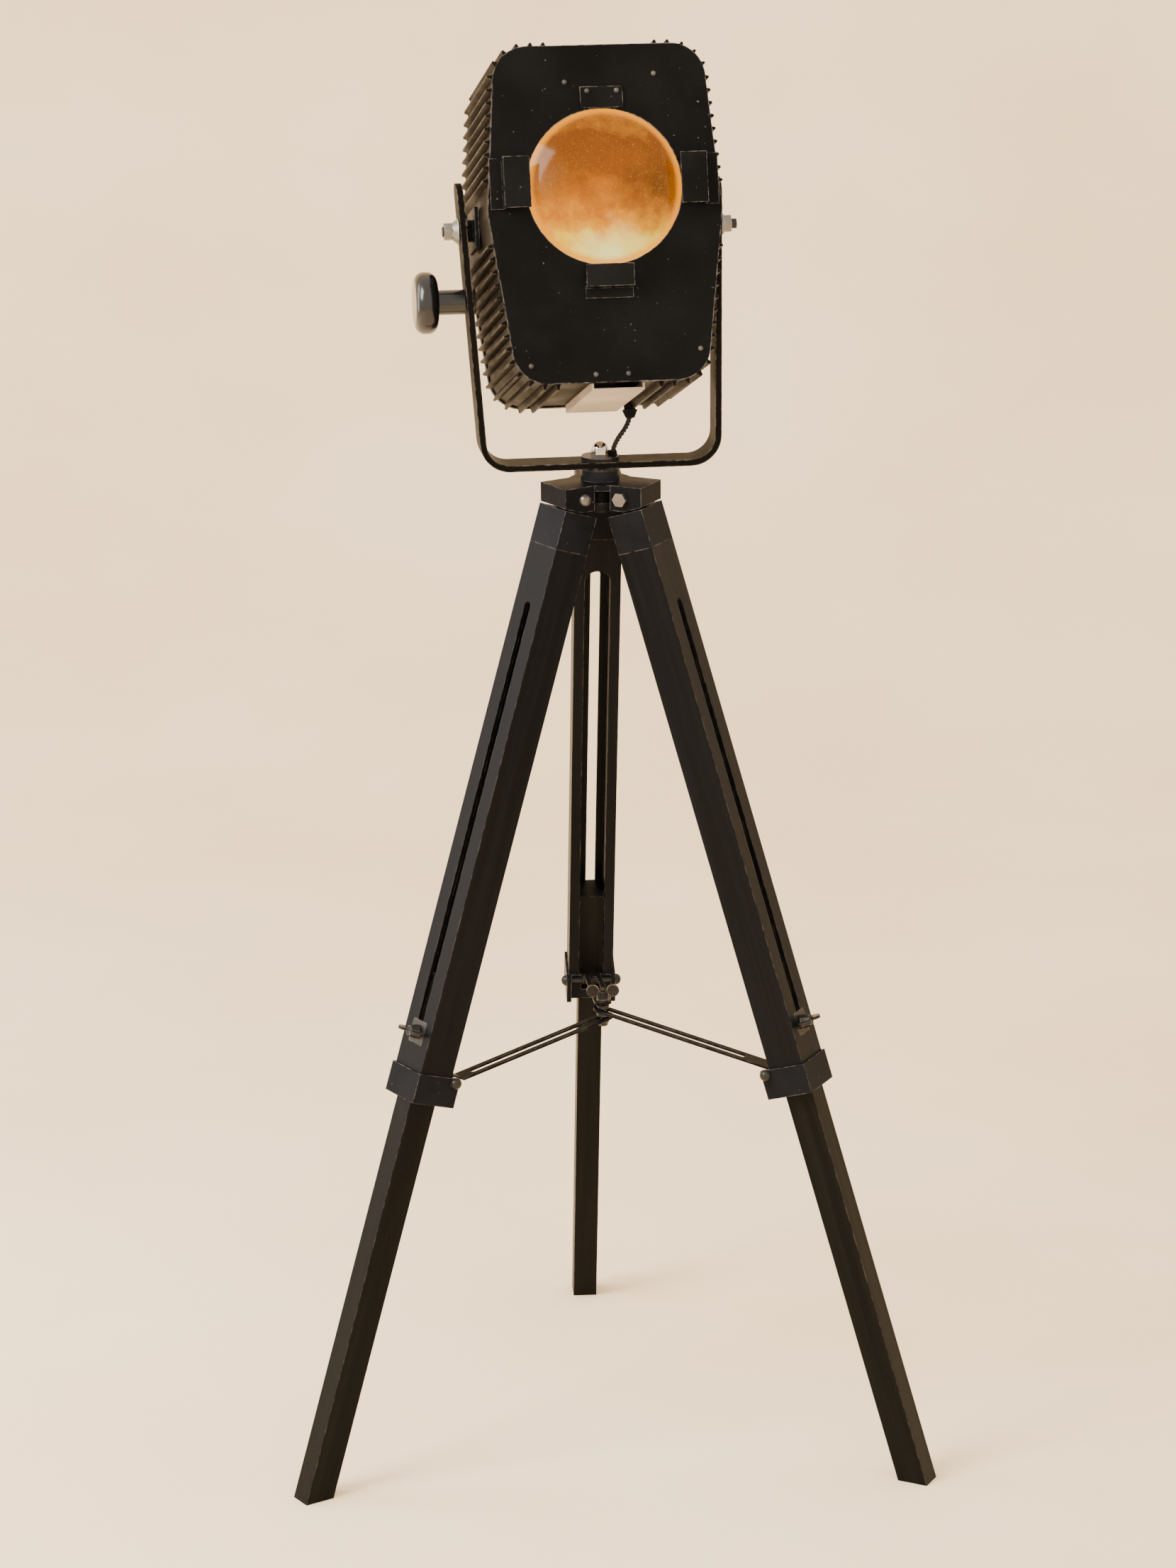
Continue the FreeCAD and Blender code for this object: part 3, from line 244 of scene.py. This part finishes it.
# ------------------------------------------------------------------ legs
# Black painted wood with steel ferrules, collars and clamp plates. The wood's open grain
# runs along each leg, so each leg has its own wood, squeezed along its own direction.
SPLAY = math.radians(17.87)
LEG_AZIMUTHS = {1: 210.0, 2: 330.0, 3: 90.0}
GRAIN_SQUEEZE = 0.965
PORE_SCALE, STREAK_SCALE, WOOD_SCUFF_SCALE = 420.0, 90.0, 90.0
PORE_DEPTH = 0.0006


def along_leg(tree, place, direction):
    """Coordinates squeezed along a leg, so that noise makes grain that runs with it."""
    run = add(tree, "ShaderNodeVectorMath", "Value", {0: place, 1: direction * GRAIN_SQUEEZE},
              operation="DOT_PRODUCT")
    back = add(tree, "ShaderNodeVectorMath", "Vector", {0: direction, "Scale": run}, operation="SCALE")
    return add(tree, "ShaderNodeVectorMath", "Vector", {0: place, 1: back}, operation="SUBTRACT")


def black_wood(name, number, base="#090a0b", patch="#0f1012"):
    """Black painted wood: faint open grain along the leg, lighter rubbed edges."""
    made, tree, shader, place = material(name)
    azimuth = math.radians(LEG_AZIMUTHS[number])
    upward = Vector((-math.sin(SPLAY) * math.cos(azimuth), -math.sin(SPLAY) * math.sin(azimuth),
                     math.cos(SPLAY)))
    squeezed = along_leg(tree, place, upward)
    grain = add(tree, "ShaderNodeTexNoise", "Fac", {"Vector": squeezed, "Scale": PORE_SCALE, "Detail": 5.0,
                                                    "Roughness": 0.62})
    pores = add(tree, "ShaderNodeMapRange", "Result", {"Value": grain, "From Min": 0.6, "From Max": 0.72,
                                                       "To Max": 0.5}, clamp=True)
    streaks = blotches(tree, squeezed, STREAK_SCALE, 4.0, 0.55, 0.4, 0.64)
    scuffs = blotches(tree, place, WOOD_SCUFF_SCALE, 6.0, 0.7, 0.46, 0.62, 0.0, 0.4)
    rubbed = add(tree, "ShaderNodeMath", "Value", {0: edges(tree, 0.0014), 1: scuffs}, operation="MULTIPLY")
    colour = layered(tree, hex_colour(base), [(streaks, patch), (pores, "#0b0b0c"), (rubbed, "#6f675f")])
    tree.links.new(colour, shader.inputs["Base Color"])
    gloss = add(tree, "ShaderNodeMapRange", "Result", {"Value": streaks, "To Min": 0.34, "To Max": 0.46},
                clamp=True)
    tree.links.new(gloss, shader.inputs["Roughness"])
    shader.inputs["Specular IOR Level"].default_value = 0.06
    grained = add(tree, "ShaderNodeBump", "Normal", {"Height": grain, "Strength": 0.25,
                                                     "Distance": PORE_DEPTH})
    tree.links.new(grained, shader.inputs["Normal"])
    return made


fittings = painted("leg_fittings", "#0f1012", "#18191d", "#8b8883", rough=0.38, wear=0.5)
pins = painted("pin_steel", "#2b2a29", "#3f3d3a", "#9c968d", rough=0.36, metallic=0.7)
wing_metal = painted("wing_metal", "#232221", "#383634", "#9a948b", rough=0.38, metallic=0.6)
for number in LEG_AZIMUTHS:
    tag = "leg_%d_" % number
    dress([tag + "upper"], black_wood("wood_upper_%d" % number, number), 0.0012)
    dress([tag + "lower"], black_wood("wood_lower_%d" % number, number, "#090908", "#100f0c"), 0.001)
    dress([tag + "ferrule", tag + "collar"], fittings, 0.0008)
    dress([tag + "clamp_plate", tag + "collar_pin"], pins)
    dress([tag + "wing_screw"], wing_metal, 0.0005)

# ------------------------------------------------------------------ spreader
# Three dark painted steel strips that cross at the hub, with its bolt, spacers and wing nut.
strip_paint = painted("strip_paint", "#0a0a0b", "#121213", "#6e6a64", rough=0.4, wear=0.5)
dress(["spreader_strip_1", "spreader_strip_2", "spreader_strip_3"], strip_paint, 0.0003)
dress(["hub_bolt", "hub_spacers"], pins)
dress(["hub_wing_nut"], wing_metal, 0.0004)

# ------------------------------------------------------------------ yoke
# Flat bar bent to a fork, in bronze-black paint rubbed to bare metal on its edges, with
# washers on the pan bolt, rubber at the lead's entry and a glossy plastic knob.
yoke_paint = painted("yoke_paint", "#0b0a09", "#13110f", "#8f887e", rough=0.5, wear=0.7, edge=0.0016)
dress(["yoke_bar"], yoke_paint, 0.0009)
washers = painted("washer_paint", "#1a1a1b", "#262627", "#817c75", rough=0.36, metallic=0.3)
dress(["pan_washers"], washers, 0.0004)
rubber = painted("black_rubber", "#111111", "#191919", "#3a3938", rough=0.7, wear=0.2)
dress(["lead_grommet", "lead_gland"], rubber)
dress(["tilt_lock_bush"], pins)
dress(["tilt_lock_knob"], painted("knob_gloss", "#0b0b0c", "#101011", "#5c5955", rough=0.12, wear=0.2,
                                  grain=300.0, bump=0.03, shine=0.5))

# ------------------------------------------------------------------ lamp head, shell
# Brown-black fins, a near-black front plate with a rubbed rim, small dull rivets and the
# pale tray below. The pivot plates carry the studs and nuts that hold the head in the yoke.
fins = painted("fin_paint", "#0f0c09", "#18130e", "#85776a", rough=0.45, wear=0.75, edge=0.0009, bump=0.25)
dress(["housing"], fins)
cover = painted("cover_paint", "#0a0a0a", "#101010", "#8c8984", rough=0.42, wear=0.8, edge=0.0014, bump=0.22)
dress(["front_plate", "rear_cover"], cover, 0.0006)
dress(["lens_clips"], painted("clip_paint", "#0c0c0c", "#141414", "#8d8a85", rough=0.36, wear=0.6), 0.0004)
dress(["plate_rivets"], painted("rivet_steel", "#3b3a39", "#54524f", "#96918a", rough=0.4, metallic=0.5))
dress(["pivot_plates"], casting, 0.0005)
dress(["pivot_studs"], pins)
dress(["pivot_nuts"], painted("nut_steel", "#6b6965", "#8f8c87", "#c9c5be", rough=0.36, metallic=0.7), 0.0003)
dress(["bottom_tray"], painted("pale_sheet", "#a3968a", "#bcb0a4", "#d8cfc5", rough=0.5, wear=0.4, bump=0.1))

# ------------------------------------------------------------------ lamp head, lens
# Dusty amber glass with painted light in it: a painted glow, white-yellow low down, orange above,
# browner to the right, with a painted reflection at the left, a painted bright orange glow round
# the rim, and fine dust. The glow is painted into the glass, as no light burns behind it.
PAN, TILT = math.radians(4.3), math.radians(-18.0)
PIVOT = Vector((-0.0093188, -0.0896037, 1.2856))
HEAD_TURN = Matrix.Rotation(PAN, 3, "Z") @ Matrix.Rotation(TILT, 3, "X")
LENS_RADIUS = 0.079
LENS_CENTRE = PIVOT + HEAD_TURN @ Vector((0.0, -0.12, 0.023))
# Painted glow: its strength, and its colours from the bottom of the lens up.
PAINTED_GLOW = 1.75
PAINTED_GLOW_UP_THE_LENS = [(0.0, "#ffee90"), (0.09, "#ffd430"), (0.22, "#f09a00"), (0.36, "#c86c00"),
                    (0.58, "#8a4600"), (0.8, "#7a3c02"), (1.0, "#c07000")]
glass, tree, shader, place = material("amber_glass")
from_centre = add(tree, "ShaderNodeVectorMath", "Vector", {0: place, 1: LENS_CENTRE}, operation="SUBTRACT")
# Across and up the lens face, each from -1 to 1 between its rims.
lens_u, lens_v = (add(tree, "ShaderNodeVectorMath", "Value",
                      {0: from_centre, 1: HEAD_TURN @ Vector(way) / LENS_RADIUS}, operation="DOT_PRODUCT")
                  for way in ((1, 0, 0), (0, 0, 1)))
on_face = add(tree, "ShaderNodeCombineXYZ", "Vector", {"X": lens_u, "Y": lens_v})
ripple = blotches(tree, place, 45.0, 6.0, 0.65, 0.3, 0.7, -0.2, 0.2)
warped = add(tree, "ShaderNodeMath", "Value", {0: lens_v, 1: ripple}, operation="ADD")
height = add(tree, "ShaderNodeMapRange", "Result", {"Value": warped, "From Min": -1.0}, clamp=True)
painted_glow = add(tree, "ShaderNodeValToRGB", "Color", {"Fac": height})
stops = painted_glow.node.color_ramp.elements
while len(stops) < len(PAINTED_GLOW_UP_THE_LENS):
    stops.new(0.5)
for stop, (at, tint) in zip(stops, PAINTED_GLOW_UP_THE_LENS):
    stop.position = at
    stop.color = hex_colour(tint)


def patch_at(u, v, inner, outer, strength):
    """A soft round patch of the lens face: its strength inside, 0 outside it."""
    far = add(tree, "ShaderNodeVectorMath", "Value", {0: on_face, 1: (u, v, 0.0)}, operation="DISTANCE")
    wavy = blotches(tree, place, 38.0, 5.0, 0.55, 0.3, 0.7, -0.16, 0.16)
    reach = add(tree, "ShaderNodeMath", "Value", {0: far, 1: wavy}, operation="ADD")
    return add(tree, "ShaderNodeMapRange", "Result", {"Value": reach, "From Min": outer, "From Max": inner,
                                                      "To Max": strength}, clamp=True)


from_middle = add(tree, "ShaderNodeVectorMath", "Value", {0: on_face}, operation="LENGTH")
# A painted bright glow round the lens rim.
painted_rim_glow = add(tree, "ShaderNodeMapRange", "Result", {"Value": from_middle, "From Min": 0.87, "From Max": 0.93,
                                                 "To Max": 0.8}, clamp=True)
dust = blotches(tree, place, 900.0, 3.0, 0.7, 0.6, 0.72, 0.0, 0.5)
# Over the painted glow: browner painted glow at the right, a painted reflection at the left, a painted bright
# glow low down, a painted glow round the rim, then dust as lighter specks.
face = layered(tree, painted_glow, [(patch_at(0.66, -0.12, 0.05, 0.55, 0.75), "#3c2208"),
                            (patch_at(-0.82, 0.1, 0.05, 0.42, 0.6), "#9a6030"),
                            (patch_at(0.0, -0.95, 0.1, 0.5, 0.9), "#ffec90"),
                            (painted_rim_glow, "#ff9a00"), (dust, "#ffc850")])
# The lens face's colours are painted light, given to the glass as emission.
tree.links.new(face, shader.inputs["Emission Color"])
shader.inputs["Emission Strength"].default_value = PAINTED_GLOW
shader.inputs["Base Color"].default_value = hex_colour("#1c0d04")
shader.inputs["Roughness"].default_value = 0.1
shader.inputs["Specular IOR Level"].default_value = 0.12
dress(["lens"], glass)
dress(["lens_ring", "holder_bracket"], pins)

# ------------------------------------------------------------------ lamp head, inside
# Polished reflector, ceramic lamp holder and terminal block, and the bulb. They sit behind
# the lens and aren't seen from outside.
reflector = painted("reflector_metal", "#c9c7c2", "#dedcd7", "#f2f0ec", rough=0.18, metallic=1.0, wear=0.2)
dress(["reflector"], reflector)
ceramic = painted("white_ceramic", "#d9d5cb", "#e6e2d9", "#f3f1ec", rough=0.4, wear=0.2)
dress(["lamp_holder", "terminal_block"], ceramic)
dress(["bulb"], painted("bulb_glass", "#efe6cf", "#fff6de", "#ffffff", rough=0.1, wear=0.0, bump=0.0))

# ------------------------------------------------------------------ floor and light
# A pale seamless backdrop and soft studio lights, brightest from the upper left. The front
# light isn't mirrored in glossy surfaces.
SWEEP_RADIUS, SWEEP_STEPS = 2.2, 16
WALL_AT, WIDE, HIGH, NEAR = 4.2, 9.0, 7.0, -7.0
LAMP_MIDDLE = (0.0, 0.0, 0.9)
ROOM_TINT, ROOM_STRENGTH = "#fff1de", 2.1
build = bmesh.new()
sweep_from = WALL_AT - SWEEP_RADIUS
profile = [(NEAR, 0.0), (sweep_from, 0.0)]
for step in range(1, SWEEP_STEPS + 1):
    bend = math.pi / 2 * step / SWEEP_STEPS
    profile.append((sweep_from + SWEEP_RADIUS * math.sin(bend), SWEEP_RADIUS * (1 - math.cos(bend))))
profile.append((WALL_AT, HIGH))
rows = [[build.verts.new((x, y, z)) for x in (-WIDE, WIDE)] for y, z in profile]
for low, high in zip(rows, rows[1:]):
    build.faces.new((low[0], low[1], high[1], high[0]))
backdrop_mesh = bpy.data.meshes.new("backdrop")
build.to_mesh(backdrop_mesh)
build.free()
backdrop_mesh.shade_smooth()
backdrop = bpy.data.objects.new("backdrop", backdrop_mesh)
bpy.context.collection.objects.link(backdrop)
paper, tree, shader, place = material("paper")
mottle = blotches(tree, place, 1.6, 3.0, 0.55, 0.3, 0.7)
tree.links.new(layered(tree, hex_colour("#f0d8b4"), [(mottle, "#f5e2c2")]), shader.inputs["Base Color"])
shader.inputs["Roughness"].default_value = 0.9
backdrop_mesh.materials.append(paper)


def area_light(name, at, target, size, energy, tint):
    """A soft rectangular light that faces its target."""
    light = bpy.data.lights.new(name, "AREA")
    light.shape = "RECTANGLE"
    light.size, light.size_y = size
    light.energy = energy
    light.color = hex_colour(tint)[:3]
    made = bpy.data.objects.new(name, light)
    made.location = at
    made.rotation_euler = (Vector(target) - Vector(at)).to_track_quat("-Z", "Y").to_euler()
    bpy.context.collection.objects.link(made)
    return made


area_light("key", (-2.6, -1.6, 3.2), (0.0, 0.0, 0.8), size=(1.6, 2.2), energy=250.0, tint="#fff6ea")
area_light("side", (-2.6, 0.4, 1.6), LAMP_MIDDLE, size=(1.2, 2.4), energy=60.0, tint="#e9f0ff")
front = area_light("front", (0.6, -5.5, 2.6), LAMP_MIDDLE, size=(3.0, 2.0), energy=120.0, tint="#fff2e4")
front.visible_glossy = False
world = bpy.data.worlds.new("studio")
bpy.context.scene.world = world
world.use_nodes = True
room = world.node_tree.nodes["Background"]
room.inputs["Color"].default_value = hex_colour(ROOM_TINT)
room.inputs["Strength"].default_value = ROOM_STRENGTH
